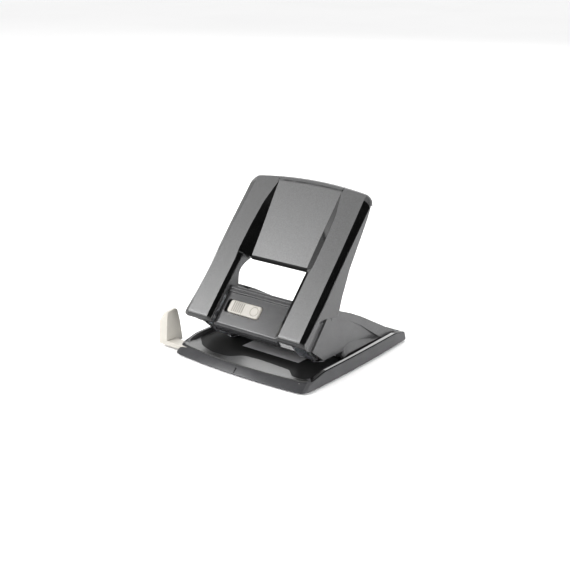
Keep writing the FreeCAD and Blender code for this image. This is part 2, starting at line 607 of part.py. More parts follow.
def make_lock_slider():
    """Sliding button in the cross panel, with a plate under the slot that hooks the catch pin."""
    body = new_body("lock_slider", in_lever=True)
    pad(body, "XY", [box("-29.3", "12", "8.6", "21.6")], "-9.4", "-8.2")
    pad(body, "XY", [box("slider_left", "slider_right", "slot_low + seam", "slot_high - seam")],
        "-8.2", "-4.7")
    ribs = [box("slider_left + %s" % a, "slider_left + %s" % b, "slot_low", "slot_high")
            for a, b in ((2.6, 3.2), (4.6, 5.2), (6.6, 7.2), (8.6, 9.2), (10.6, 11.2), (12.6, 13.2))]
    pocket(body, "XY", ribs, "-5.2", "-4")
    pocket(body, "XY", [("circle", "slider_right - 5", "15", "3.4")], "-5.1", "-4")
    return body


# ---------------------------------------------------------------- build and export

def build():
    make_base_skirt()
    make_deck_plate()
    make_die_strip()
    make_rubber_feet()
    make_chip_tray()
    make_paper_guide()
    make_guide_detent()
    make_head_cover()
    make_fasteners()
    make_lever_axle()
    make_catch_pin()
    make_lever_cover()
    make_cross_panel()
    make_lock_slider()
    for name, side in (("left", -1), ("right", 1)):
        make_die("die_" + name, side)
        make_bracket("punch_bracket_" + name, side)
        make_pin("punch_pin_" + name, side)
        make_washer("spring_washer_" + name, side)
        make_spring("return_spring_" + name, side)
        make_lever_arm("lever_arm_" + name, side)
    doc.recompute()


def check():
    faults = [o.Name for o in doc.Objects if "Invalid" in o.State or "Error" in o.State]
    faults += [p.Label for p in PARTS if p.Shape.isNull() or not p.Shape.isValid() or not p.Shape.Solids]
    if faults:
        raise RuntimeError("failed: " + ", ".join(faults))


def export():
    os.makedirs("parts", exist_ok=True)
    for part in PARTS:
        part.Shape.exportStep("parts/%s.step" % part.Label)
        print("%-22s %2d solids %9.1f mm3" % (part.Label, len(part.Shape.Solids), part.Shape.Volume))


build()
check()
export()
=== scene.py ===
"""Looks of the desk punch: studio, materials and the detailed moulded pieces."""
import math

import bmesh
import bpy
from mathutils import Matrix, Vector
from mathutils.geometry import tessellate_polygon


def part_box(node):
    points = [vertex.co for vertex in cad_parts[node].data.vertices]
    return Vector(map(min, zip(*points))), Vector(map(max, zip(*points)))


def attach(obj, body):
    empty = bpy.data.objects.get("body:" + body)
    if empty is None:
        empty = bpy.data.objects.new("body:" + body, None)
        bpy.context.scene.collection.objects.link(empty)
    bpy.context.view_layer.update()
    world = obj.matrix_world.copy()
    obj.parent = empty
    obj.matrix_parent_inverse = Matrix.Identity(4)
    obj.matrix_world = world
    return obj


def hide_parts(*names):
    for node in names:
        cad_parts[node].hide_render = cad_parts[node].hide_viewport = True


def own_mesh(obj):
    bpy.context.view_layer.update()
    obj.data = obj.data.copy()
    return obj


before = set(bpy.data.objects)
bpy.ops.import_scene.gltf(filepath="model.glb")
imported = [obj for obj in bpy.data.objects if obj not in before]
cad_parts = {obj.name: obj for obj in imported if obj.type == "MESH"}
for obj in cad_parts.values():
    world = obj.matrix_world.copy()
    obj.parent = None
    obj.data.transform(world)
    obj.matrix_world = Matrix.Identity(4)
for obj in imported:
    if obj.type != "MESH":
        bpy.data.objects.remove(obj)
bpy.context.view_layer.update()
MM = 0.001
WELD = 0.000004             # metres: points closer than this are one
TILT = math.radians(47.5)   # slope of the lever at rest
LEVER_FOOT = (-58.5, 34.7)  # y and z of the lower end of the lever's face
LARGE = 6e-6                # square metres: larger faces of a sheet are shaded flat


# ---------------------------------------------------------------- materials

def new_material(name):
    """A node material with its shader and its object coordinates."""
    material = bpy.data.materials.new(name)
    material.use_nodes = True
    tree = material.node_tree
    shader = tree.nodes["Principled BSDF"]
    coords = tree.nodes.new("ShaderNodeTexCoord")
    return material, tree, shader, coords


def noise(tree, coords, scale, detail=3.0, roughness=0.55):
    """Noise fixed to the object."""
    node = tree.nodes.new("ShaderNodeTexNoise")
    node.inputs["Scale"].default_value = scale
    node.inputs["Detail"].default_value = detail
    node.inputs["Roughness"].default_value = roughness
    tree.links.new(coords.outputs["Object"], node.inputs["Vector"])
    return node


def ramp(tree, source, low, high):
    """The middle of a noise, spread from low to high."""
    node = tree.nodes.new("ShaderNodeMapRange")
    node.inputs["From Min"].default_value = 0.35
    node.inputs["From Max"].default_value = 0.65
    node.inputs["To Min"].default_value = low
    node.inputs["To Max"].default_value = high
    tree.links.new(source, node.inputs["Value"])
    return node.outputs["Result"]


def tint(tree, source, dark, light):
    """The middle of a noise, spread from a dark to a light colour."""
    node = tree.nodes.new("ShaderNodeValToRGB")
    node.color_ramp.elements[0].position = 0.35
    node.color_ramp.elements[1].position = 0.65
    node.color_ramp.elements[0].color = (*dark, 1)
    node.color_ramp.elements[1].color = (*light, 1)
    tree.links.new(source, node.inputs["Fac"])
    return node.outputs["Color"]


def moulded(name, dark, light, rough, grain, depth, metallic=0.0, specular=0.5, cloud=60):
    """Moulded or metal surface: cloudy colour, uneven polish and a fine grain."""
    material, tree, shader, coords = new_material(name)
    clouds = noise(tree, coords, cloud)
    fine = noise(tree, coords, grain, 4.0, 0.6)
    tree.links.new(tint(tree, clouds.outputs["Fac"], dark, light), shader.inputs["Base Color"])
    tree.links.new(ramp(tree, fine.outputs["Fac"], rough[0], rough[1]), shader.inputs["Roughness"])
    bump = tree.nodes.new("ShaderNodeBump")
    bump.inputs["Strength"].default_value = depth
    bump.inputs["Distance"].default_value = 0.0001
    tree.links.new(fine.outputs["Fac"], bump.inputs["Height"])
    tree.links.new(bump.outputs["Normal"], shader.inputs["Normal"])
    shader.inputs["Metallic"].default_value = metallic
    shader.inputs["Specular IOR Level"].default_value = specular
    return material


SATIN = moulded("satin_dark", (0.006, 0.006, 0.006), (0.040, 0.040, 0.041),
                (0.34, 0.50), 1500, 1.0,
                specular=0.86, cloud=1900)
GLOSS = moulded("gloss_black", (0.002, 0.002, 0.002), (0.003, 0.003, 0.003),
                (0.05, 0.09), 900, 0.02, specular=0.4)
SEMI = moulded("semi_black", (0.030, 0.030, 0.031), (0.038, 0.038, 0.039),
               (0.22, 0.32), 2200, 0.12)
HEAD = moulded("head_semi", (0.043, 0.043, 0.044), (0.051, 0.051, 0.052), (0.20, 0.28), 2200, 0.12)
STRIP = moulded("strip_plate", (0.36, 0.36, 0.37), (0.42, 0.42, 0.43),
                (0.42, 0.55), 1200, 0.15, metallic=0.3)
BAND = moulded("deck_satin", (0.014, 0.014, 0.0135), (0.019, 0.019, 0.018),
               (0.26, 0.36), 2400, 0.25)
# Dark and nearly unreflective: the plain dark of the tick and of the panel's rolled edge, and
# painted shade and painted dark reflection where it lies on the deck, the strip's ends, the rim's
# groove and the cheek foot's seam.
DARK_AND_PAINTED_SHADE = moulded("deck_dark_and_painted_shade", (0.009, 0.009, 0.009), (0.012, 0.012, 0.012),
                 (0.30, 0.42), 2000, 0.2, specular=0.02)
MATTE = moulded("matte_black", (0.022, 0.022, 0.023), (0.030, 0.030, 0.031),
                (0.45, 0.6), 1800, 0.3)
PALE = moulded("pale_warm", (0.345, 0.329, 0.297), (0.380, 0.362, 0.327),
               (0.38, 0.5), 1500, 0.12, cloud=40)
RUBBER = moulded("foot_rubber", (0.012, 0.012, 0.012), (0.02, 0.02, 0.02), (0.75, 0.9), 1400, 0.5)
ZINC = moulded("zinc_plate", (0.50, 0.51, 0.53), (0.62, 0.63, 0.65),
               (0.26, 0.42), 700, 0.15, metallic=1.0)
TOOL = moulded("tool_steel", (0.42, 0.42, 0.44), (0.55, 0.55, 0.57),
               (0.16, 0.28), 1800, 0.1, metallic=1.0)
SPRING = moulded("spring_steel", (0.30, 0.31, 0.32), (0.42, 0.43, 0.44),
                 (0.22, 0.34), 900, 0.1, metallic=1.0)
CAST = moulded("cast_alloy", (0.40, 0.41, 0.42), (0.52, 0.53, 0.54),
               (0.45, 0.62), 900, 0.6, metallic=1.0)
SKIRT = moulded("base_satin", (0.036, 0.036, 0.038), (0.046, 0.046, 0.048),
                (0.28, 0.36), 2400, 0.2, specular=0.25)
# A darker, duller copy of the base satin for the front face of the same tray: painted shade on the
# front.
FASCIA = moulded("front_satin", (0.022, 0.022, 0.024), (0.029, 0.029, 0.031),
                 (0.26, 0.34), 2400, 0.2, specular=0.18)
# A lighter, nearly unreflective copy of the lever's satin for the rails' lower end caps: painted
# light, their grey tone put into the colour instead of coming from reflection.
RAIL_END = moulded("rail_end", (0.044, 0.044, 0.045), (0.055, 0.055, 0.056),
                   (0.40, 0.50), 2000, 0.2, specular=0.08)
PALE_SHADE = moulded("pale_groove", (0.040, 0.034, 0.028), (0.055, 0.048, 0.040),
                     (0.55, 0.65), 1500, 0.1)
PALE_BUTTON = moulded("pale_button", (0.280, 0.264, 0.236), (0.310, 0.294, 0.264),
                      (0.42, 0.52), 1500, 0.1)
PLATE = moulded("cross_satin", (0.016, 0.016, 0.017), (0.022, 0.022, 0.023),
                (0.20, 0.28), 2400, 0.25, specular=0.36)
BRIGHT = moulded("bright_screw", (0.62, 0.62, 0.63), (0.74, 0.74, 0.75),
                 (0.12, 0.2), 1200, 0.05, metallic=1.0)

NODE_LOOK = {
    "base_skirt": SEMI, "deck_plate": BAND, "die_strip": STRIP, "die_left": TOOL, "die_right": TOOL,
    "punch_bracket_left": ZINC, "punch_bracket_right": ZINC, "bracket_rivets": BRIGHT,
    "head_cover": HEAD, "head_screws": BRIGHT, "rubber_feet": RUBBER, "lever_axle": TOOL,
    "axle_clips": SPRING, "return_spring_left": SPRING, "return_spring_right": SPRING,
    "guide_detent": SPRING, "lock_catch_pin": TOOL, "lever_cover": SATIN, "cross_panel": SEMI,
    "lever_arm_left": CAST, "lever_arm_right": CAST, "lever_screws": BRIGHT, "lock_slider": PALE,
    "punch_pin_left": TOOL, "punch_pin_right": TOOL, "spring_washer_left": ZINC,
    "spring_washer_right": ZINC, "paper_guide": PALE, "chip_tray": MATTE,
}


# ---------------------------------------------------------------- mesh helpers

def along(where, table):
    """Straight-line reading of a table of (place, value)."""
    if where <= table[0][0]:
        return table[0][1]
    for (a, low), (b, high) in zip(table, table[1:]):
        if where <= b:
            return low + (high - low) * (where - a) / (b - a)
    return table[-1][1]


def smooth_along(where, table, reach):
    """The same, with its corners rounded over a reach."""
    return sum(along(where + reach * k / 4, table) for k in range(-4, 5)) / 9


def roll(keys, steps=4):
    """A closed outline with each corner rounded: keys are (x, y, radius)."""
    points = []
    count = len(keys)
    for index, (x, y, radius) in enumerate(keys):
        corner = Vector((x, y))
        before = Vector(keys[index - 1][:2]) - corner
        after = Vector(keys[(index + 1) % count][:2]) - corner
        half = before.angle(after, math.pi) / 2
        reach = radius / max(math.tan(half), 0.05)
        reach = min(reach, 0.46 * before.length, 0.46 * after.length)
        start = corner + before.normalized() * reach
        stop = corner + after.normalized() * reach
        for step in range(steps + 1):
            t = step / steps
            points.append(start * (1 - t) ** 2 + corner * 2 * t * (1 - t) + stop * t * t)
    return points


def in_lever(u, v, w):
    """Millimetres across, up along and above the lever's face, as a point of the frame."""
    y, z = LEVER_FOOT
    return (u * MM, (y + v * math.cos(TILT) - w * math.sin(TILT)) * MM,
            (z + v * math.sin(TILT) + w * math.cos(TILT)) * MM)


def in_base(x, y, z):
    """Millimetres as a point of the frame."""
    return x * MM, y * MM, z * MM


def skin(name, rings, place, looks, look_of, body, node=None, slot=None, capped=True):
    """Joins rings of equal length into one closed skin; look_of(ring, step) picks the material."""
    count = len(rings[0])
    points = [place(*p) for ring in rings for p in ring]
    faces, chosen = [], []
    for row in range(len(rings) - 1):
        for step in range(count):
            after = (step + 1) % count
            faces.append((row * count + step, row * count + after,
                          (row + 1) * count + after, (row + 1) * count + step))
            chosen.append(look_of(row, step))
    if capped:
        faces.append(tuple(reversed(range(count))))
        faces.append(tuple((len(rings) - 1) * count + k for k in range(count)))
        chosen += [look_of(0, 0), look_of(len(rings) - 2, 0)]
    return make_piece(name, points, faces, chosen, looks, body, node, slot)


def make_piece(name, points, faces, chosen, looks, body, node, slot):
    """A welded mesh that rides on its body and stands for its node; quads are smooth."""
    mesh = bpy.data.meshes.new(name)
    mesh.from_pydata(points, [], faces)
    mesh.update()
    for look in looks:
        mesh.materials.append(look)
    for face, index in zip(mesh.polygons, chosen):
        face.material_index = min(index, len(looks) - 1)
    mesh.validate()
    mesh.shade_smooth()
    for face in mesh.polygons:
        face.use_smooth = len(face.vertices) == 4
    obj = bpy.data.objects.new(name, mesh)
    bpy.context.scene.collection.objects.link(obj)
    weld = obj.modifiers.new("weld", "WELD")
    weld.merge_threshold = WELD
    even = obj.modifiers.new("even", "WEIGHTED_NORMAL")
    even.keep_sharp = True
    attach(obj, body)
    if node:
        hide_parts(node)
    return obj


def outward(obj):
    """Turns every face of a closed skin to the outside."""
    mesh = bmesh.new()
    mesh.from_mesh(obj.data)
    bmesh.ops.remove_doubles(mesh, verts=mesh.verts, dist=WELD)
    bmesh.ops.recalc_face_normals(mesh, faces=mesh.faces)
    mesh.to_mesh(obj.data)
    mesh.free()


def rounded(left, right, low, high, radius, steps=5):
    """A rectangle with round corners."""
    return [tuple(p) for p in roll([(left, low, radius), (right, low, radius),
                                    (right, high, radius), (left, high, radius)], steps)]


def circle(x, y, radius, count):
    """Points round a circle."""
    turns = [2 * math.pi * k / count for k in range(count)]
    return [(x + radius * math.cos(t), y + radius * math.sin(t)) for t in turns]


def sheet(name, outer, holes, top, under, lip, place, looks, body, node=None, slot=None):
    """A flat sheet; each hole is a function of its growth, so that its rim can roll inwards."""
    rolled = []
    for hole in holes:
        rims = [(hole(lip * (1 - math.sin(a))), top - lip * (1 - math.cos(a)))
                for a in [math.radians(turn) for turn in (0, 30, 60, 90)]]
        rolled.append(rims + [(hole(0), under)])
    points, faces, chosen = [], [], []

    def add(loop, height):
        start = len(points)
        points.extend(place(x, y, height) for x, y in loop)
        return start, len(loop)

    def bridge(first, second, look):
        (a, count), (b, _) = first, second
        for k in range(count):
            after = (k + 1) % count
            faces.append((a + k, a + after, b + after, b + k))
            chosen.append(look)

    def cap(loops, starts, look):
        order = [start + k for start, count in starts for k in range(count)]
        for triple in tessellate_polygon([[Vector((x, y, 0)) for x, y in loop] for loop in loops]):
            faces.append(tuple(order[k] for k in triple))
            chosen.append(look)

    outer_top, outer_low = add(outer, top), add(outer, under)
    bridge(outer_top, outer_low, 1)
    hole_top, hole_low = [], []
    for rims in rolled:
        rows = [add(loop, height) for loop, height in rims]
        for first, second in zip(rows, rows[1:]):
            bridge(first, second, 1)
        hole_top.append(rows[0])
        hole_low.append(rows[-1])
    cap([outer] + [rims[0][0] for rims in rolled], [outer_top] + hole_top, 0)
    cap([outer] + [rims[-1][0] for rims in rolled], [outer_low] + hole_low, 1)
    obj = make_piece(name, points, faces, chosen, looks, body, node, slot)
    for face in obj.data.polygons:
        face.use_smooth = face.use_smooth and face.area < LARGE
    outward(obj)


# ---------------------------------------------------------------- carried-over CAD pieces

def dress(node, look, edge):
    """A CAD node keeps its shape; its edges get a small round and its surface a finish."""
    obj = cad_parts[node]
    obj.data.materials.clear()
    obj.data.materials.append(look)
    weld = obj.modifiers.new("weld", "WELD")
    weld.merge_threshold = 0.000005
    if edge:
        flat = obj.modifiers.new("flat", "DECIMATE")
        flat.decimate_type = "DISSOLVE"
        flat.angle_limit = math.radians(0.6)
        bevel = obj.modifiers.new("edge", "BEVEL")
        bevel.width = edge * MM
        bevel.segments = 3
        bevel.limit_method = "ANGLE"
        bevel.angle_limit = math.radians(24)
        bevel.use_clamp_overlap = True
    even = obj.modifiers.new("even", "WEIGHTED_NORMAL")
    even.keep_sharp = False


# millimetres of round on the nodes that stay visible
EDGES = {"paper_guide": 0.9, "head_cover": 1.8, "chip_tray": 0.4, "rubber_feet": 0.3,
         "punch_bracket_left": 0.2, "punch_bracket_right": 0.2, "lever_arm_left": 0.4,
         "lever_arm_right": 0.4, "punch_pin_left": 0.15, "punch_pin_right": 0.15,
         "head_screws": 0.3, "lever_screws": 0.3, "bracket_rivets": 0.3, "lever_axle": 0.3}
for node, look in NODE_LOOK.items():
    dress(node, look, EDGES.get(node, 0))


# ---------------------------------------------------------------- lever cover
# Tables of (place along the lever, value) in millimetres: where the face, the sunk floor and the
# bevel begin across it, and how deep the sink, the flange, the web and the bevel go.

FACE_IN = [(0, 33.2), (52, 33.4), (56, 34.4), (78, 34.4), (100, 33.2), (112, 30.6), (120.3, 28.8)]
FLOOR_IN = [(56, 25.6), (78, 26.3), (100, 27.3), (120.3, 28.5)]
SINK = [(56, 6.5), (120.3, 0.05)]
FLANGE_DEEP = [(0, 7), (21, 7), (24, 9), (34.5, 24.2), (46, 19.2), (66, 12.7), (82, 10),
               (125.6, 2.6)]
WEB_DEEP = [(0, 4.3), (26.8, 4.3), (27.2, 15.5), (31.5, 15.3), (34.5, 13.4), (38, 10.6), (41, 8.3),
            (44.4, 7.2), (48, 7.6), (52, 9.3), (58, 12.6), (66, 12.6), (82, 10), (125.6, 2.6)]
BEVEL_IN = [(0, 52.3), (75, 51.4), (116, 50.3)]
BEVEL_DEEP = [(0, 1.6), (13, 2.7), (37, 3.7), (61, 2.7), (77, 2.3), (125.6, 2.2)]
LONG = 125.6       # length of the lever's face
PANEL_LOW = 56     # where the sunk panel begins
CORNER = 7.6       # radius of the lever's top corners
CORNER_FROM = 48.4
COVER = ("lever", "lever_cover", "black_satin")


def top_edge(u):
    """How far up the lever's edge reaches at this place across it."""
    reach = LONG - 4.2 * (u / 51.6) ** 2
    over = abs(u) - CORNER_FROM
    if over > 0:
        reach -= CORNER - math.sqrt(max(CORNER ** 2 - over ** 2, 0))
    return reach


def bend_top(u, v):
    """Bends the upper part of the lever to its curved top edge."""
    start = 96
    if v <= start:
        return v
    share = (v - start) / (LONG - start)
    return v + share * share * (top_edge(u) - LONG)


def end_drop(v):
    """How far the face rolls down at the two ends of the lever."""
    if v < 2.2:
        return 3.2 - math.sqrt(max(3.2 ** 2 - (2.2 - v) ** 2, 0.0))
    if v > LONG - 3:
        return 3 - math.sqrt(max(3 ** 2 - (v - LONG + 3) ** 2, 0.0))
    return 0


def rail_ring(v, side):
    """Section of one rail: inner wall, face, bevel, flange and the hollow under them."""
    face_in = smooth_along(v, FACE_IN, 3)
    drop = end_drop(v)
    flange = smooth_along(v, FLANGE_DEEP, 1.6)
    web = smooth_along(v, WEB_DEEP, 1.2)
    bevel_in, bevel = along(v, BEVEL_IN), smooth_along(v, BEVEL_DEEP, 6)
    if v < PANEL_LOW:
        inner = [(30.02, -web, 0.5), (30.0, -2.4, 0.2), (30.0, -1.8, 0.8)]
    else:
        sink = along(v, SINK)
        inner = [(30.02, -max(web, sink + 1.6), 0.5), (30.0, -sink - 1.5, 0.05),
                 (along(v, FLOOR_IN) - 0.3, -sink - 0.25, 0.1)]
    closed = v < 1.6 or v > LONG - 3.4
    under_out = -flange + 0.2 if closed else -2.3
    under_in = -max(web, flange) + 0.2 if closed else -2.3
    keys = inner + [
        (face_in, 0, 0.9), (bevel_in, 0, 0.7), (55.97, -bevel, 1.0), (55.9, -flange, 0.5),
        (53.9, -flange, 0.5), (53.8, under_out - (0 if closed else 1.5), 0.8),
        (33.6, under_in, 0.8), (32.0, -web, 0.5)]
    outline = roll(keys, 3)
    face, bevel = (outline[15], outline[16]), (outline[19], outline[20])
    outline[20:20] = [bevel[0].lerp(bevel[1], k / 6) for k in range(1, 6)]
    outline[16:16] = [face[0].lerp(face[1], k / 8) for k in range(1, 8)]
    return [(side * u, bend_top(side * u, v), w - drop * max(0.0, 1 + w / 7.0))
            for u, w in outline]


def stations(low, high, step, extra=()):
    """Even places from low to high, with some of their own between."""
    count = round((high - low) / step)
    found = [low + (high - low) * k / count for k in range(count + 1)] + list(extra)
    return sorted(set(round(v, 4) for v in found))


def make_rails():
    """The two rails with their flanges; their faces are satin, their inner walls glossy."""
    ends = [LONG - back for back in (3.41, 3.39, 2, 1, 0.5, 0.2, 0.05)]
    rail_stations = stations(-0.9, LONG, 1.1, [-0.95, -0.6, 0, 0.5, 1.0, 1.59, 1.61,
                                              PANEL_LOW - 0.01, PANEL_LOW + 0.01] + ends)
    # four points to a corner of the section, with more along the face and the bevel
    satin = set(range(15, 23)) | {34, 35}

    def look_of(row, step):
        v = rail_stations[row]
        # the lower end cap takes the lighter copy of the satin, its grey painted light
        if v < -0.7:
            return 3
        if v < 0.4 and 12 < step < 26:
            return 0
        if step in satin or (v > 117.5 and 12 < step < 36):
            return 1
        return 2 if step > 35 or step < 6 else 0

    for side, label in ((1, "right"), (-1, "left")):
        rings = [rail_ring(v, side) for v in rail_stations]
        outward(skin("lever_rail_" + label, rings, in_lever, (GLOSS, SATIN, SEMI, RAIL_END),
                     look_of, *COVER))


def make_panel():
    """The sunk panel between the rails, its lower edge rolled under."""
    outline = roll([(121.6, 0.0, 0.05), (120.3, 0.0, 0.05), (56.2, -6.5, 2.0),
                    (55.6, -10.4, 0.8), (57.8, -10.6, 0.6), (58.6, -8.9, 0.8),
                    (119, -2.2, 0.1), (121.6, -2.2, 0.05)], 5)
    rings = []
    for k in range(41):
        across = k / 40 * 2 - 1
        ring = []
        for v, w in outline:
            u = across * (along(v, FLOOR_IN) + 1.2)
            ring.append((u, bend_top(u, v), w))
        rings.append(ring)
    outward(skin("lever_panel", rings, in_lever, (SATIN, DARK_AND_PAINTED_SHADE, SEMI),
                 lambda row, step: 0 if step < 12 else (1 if step < 24 else 2), *COVER))


def make_top_strip():
    """The strip above the panel that carries the two rails' faces across."""
    rings = []
    for v in stations(119.6, LONG, 0.5, (LONG - 0.2, LONG - 0.05)):
        drop = end_drop(v)
        low = min(-2.9 - 0.3 * (LONG - v) / 6, -drop - 0.3)
        across = [-30 + 1.5 * k for k in range(41)]
        rings.append([(u, bend_top(u, v), -drop) for u in across]
                     + [(u, bend_top(u, v), low) for u in reversed(across)])
    outward(skin("lever_top_strip", rings, in_lever, (SATIN, SEMI),
                 lambda row, step: 0 if step < 41 else 1, *COVER))


make_rails()
make_panel()
make_top_strip()


# ---------------------------------------------------------------- cross panel and lock

SLOT = (-26.2, 6.2, 9.8, 20.3)       # left, right, low and high edge
BUTTON = (-22.8, 6.05, 9.95, 20.15)
PANEL = ("lever", "cross_panel", "black_satin")
LOCK = ("lock", "lock_slider", "pale_grey")


def plain(row, step):
    """One look all over."""
    return 0


def make_cross_panel():
    """Sunk plate with the lock's slot, its lower edge rolled under, a double lip above."""
    half = 29.85
    outer = [(-half, 1.6), (half, 1.6), (half, 24.6), (-half, 24.6)]

    def slot(grow):
        left, right, low, high = SLOT
        return rounded(left - grow, right + grow, low - grow, high + grow, 2.6 + grow)

    sheet("cross_plate", outer, [slot], -6.0, -7.9, 0.3, in_lever, (PLATE,), *PANEL)
    sections = {
        "cross_lip": [(24.55, -6.0, 0.01), (25.2, -6.0, 0.3), (25.9, -4.9, 0.5), (27.3, -5.0, 0.4),
                      (27.8, -5.4, 0.2), (28.4, -4.6, 0.5), (30.4, -4.7, 0.6), (31.0, -5.8, 0.6),
                      (31.0, -12.0, 0.4), (29.2, -12.0, 0.3), (29.2, -7.9, 0.3),
                      (24.55, -7.9, 0.01)],
        "cross_roll": [(1.62, -6.0, 0.01), (0.6, -6.0, 1.2), (-1.2, -7.0, 1.6), (-2.2, -9.4, 1.2),
                       (-3.0, -13.0, 0.5), (-1.2, -13.0, 0.3), (-0.4, -9.4, 0.8),
                       (0.7, -7.9, 0.5), (1.62, -7.9, 0.01)],
    }
    for name, keys in sections.items():
        profile = roll(keys, 4)
        rings = [[(u, v, w) for v, w in profile] for u in (-half, -10, 10, half)]
        outward(skin(name, rings, in_lever, (PLATE,), plain, *PANEL))


def make_lock():
    """The pale button, dark strips laid on it as painted shade of its grooves, a dark ring for its
    round mark; the plate under it is painted dark for the shade in the slot.
    """
    left, right, low, high = BUTTON
    rings = []
    for height, inset in ((-8.3, 0.1), (-5.6, 0.1), (-5.05, 0.25), (-4.8, 0.55), (-4.7, 1.1)):
        outline = rounded(left + inset, right - inset, low + inset, high - inset,
                          max(2.6 - inset, 0.8))
        rings.append([(u, v, height) for u, v in outline])
    outward(skin("lock_button", rings, in_lever, (PALE_BUTTON,), plain, *LOCK))
    # Painted shade: thin dark strips stand just above the button where its grooves are.
    for k in range(6):
        middle = left + 4.3 + 1.8 * k
        outline = rounded(middle - 0.32, middle + 0.32, low + 1.0, high - 1.0, 0.2, 3)
        rings = [[(u, v, height) for u, v in outline] for height in (-4.9, -4.67)]
        outward(skin("lock_groove_shade_%d" % (k + 1), rings, in_lever, (PALE_SHADE,), plain, *LOCK))
    rings = [[(u, v, height) for u, v in circle(right - 5, 15.05, radius, 36)]
             for radius, height in ((3.6, -4.75), (3.55, -4.66), (3.25, -4.66), (3.2, -4.75))]
    outward(skin("lock_mark", rings, in_lever, (PALE_SHADE,), plain, *LOCK, capped=False))
    # Painted shade: the slider's plate is dark so the slot beside the button reads as shaded.
    sheet("lock_plate", [(-29.3, 8.6), (12, 8.6), (12, 21.6), (-29.3, 21.6)], [], -8.25, -9.4, 0.1,
          in_lever, (MATTE,), *LOCK)


make_cross_panel()
make_lock()


# ---------------------------------------------------------------- return springs

def make_spring(side, turns=6, steps=24, wire=0.0004):
    """Coil round one pin's bushing, filling its node's box."""
    node = "return_spring_" + side
    low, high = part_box(node)
    across, back = (low[0] + high[0]) / 2, (low[1] + high[1]) / 2
    mean = (high[0] - low[0]) / 2 - wire
    foot, rise = low[2] + wire, high[2] - low[2] - 2 * wire
    rings = []
    for k in range(turns * steps + 1):
        turn = 2 * math.pi * k / steps
        section = circle(mean, foot + rise * k / (turns * steps), wire, 10)
        rings.append([(across + out * math.cos(turn), back + out * math.sin(turn), up)
                      for out, up in section])
    coil = skin("spring_coil_" + side, rings, lambda x, y, z: (x, y, z), (SPRING,),
                plain, "base", node, "spring_steel")
    outward(coil)
    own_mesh(coil)


make_spring("left")
make_spring("right")


# ---------------------------------------------------------------- base

BASE = ("base", "base_skirt", "black_satin")
FOOT = dict(half_front=62.0, half_rear=61.2, front=-64.6, rear=67.8, bow=3.6, belly=2.1, corner=7)
BRIM = dict(half_front=61.0, half_rear=60.6, front=-56.8, rear=66.6, bow=5.4, belly=0.9, corner=6)
BOTTOM = 1.2                      # height of the skirt's lower edge
DECK = (7.6, 6.4, 0.05)           # top, underside and edge roll of the plates
DIES = (40.0, -19.5)              # across and back from the middle
DIE_RADIUS = 5.55


def between(low, high, share):
    """Share 0 gives low, 1 gives high."""
    return low + (high - low) * share


def swell(place, start, stop):
    """0 before start, 1 after stop, an even S between."""
    share = min(max((place - start) / (stop - start), 0.0), 1.0)
    return share * share * (3 - 2 * share)


def base_plan(half_front, half_rear, front, rear, bow, belly, corner):
    """Plan of the base as a closed loop: bowed front, bellied sides, round corners."""
    def side(y):
        share = (y - front) / (rear - front)
        return between(half_front, half_rear, share) + 4 * belly * share * (1 - share)

    def nose(x):
        return front - bow * (1 - (x / half_front) ** 2)

    def arc(start, middle, stop):
        start, middle, stop = Vector(start), Vector(middle), Vector(stop)
        return [tuple(start * (1 - t) ** 2 + middle * 2 * t * (1 - t) + stop * t * t)
                for t in [k / 6 for k in range(1, 6)]]

    reach = half_front - corner
    points = [(x, nose(x)) for x in [between(-reach, reach, k / 16) for k in range(17)]]
    rear_corner = 3.0
    low, high = front + corner * 0.8, rear - rear_corner
    points += arc(points[-1], (side(front), nose(half_front - 1)), (side(low), low))
    right = [(side(y), y) for y in [between(low, high, k / 30) for k in range(31)]]
    points += right
    edge = half_rear - rear_corner
    points += arc(right[-1], (side(rear), rear), (edge, rear))
    points += [(between(edge, -edge, k / 8), rear) for k in range(9)]
    points += arc((-edge, rear), (-side(rear), rear), (-right[-1][0], right[-1][1]))
    points += [(-x, y) for x, y in reversed(right)]
    points += arc((-right[0][0], right[0][1]), (-side(front), nose(half_front - 1)), points[0])
    return points


def rim_height(y):
    """The rim is low at the front, high along the sides and falls a little at the rear."""
    return between(7.15, 11.0, swell(y, -59.5, -37)) - 3.2 * swell(y, 50, 68)


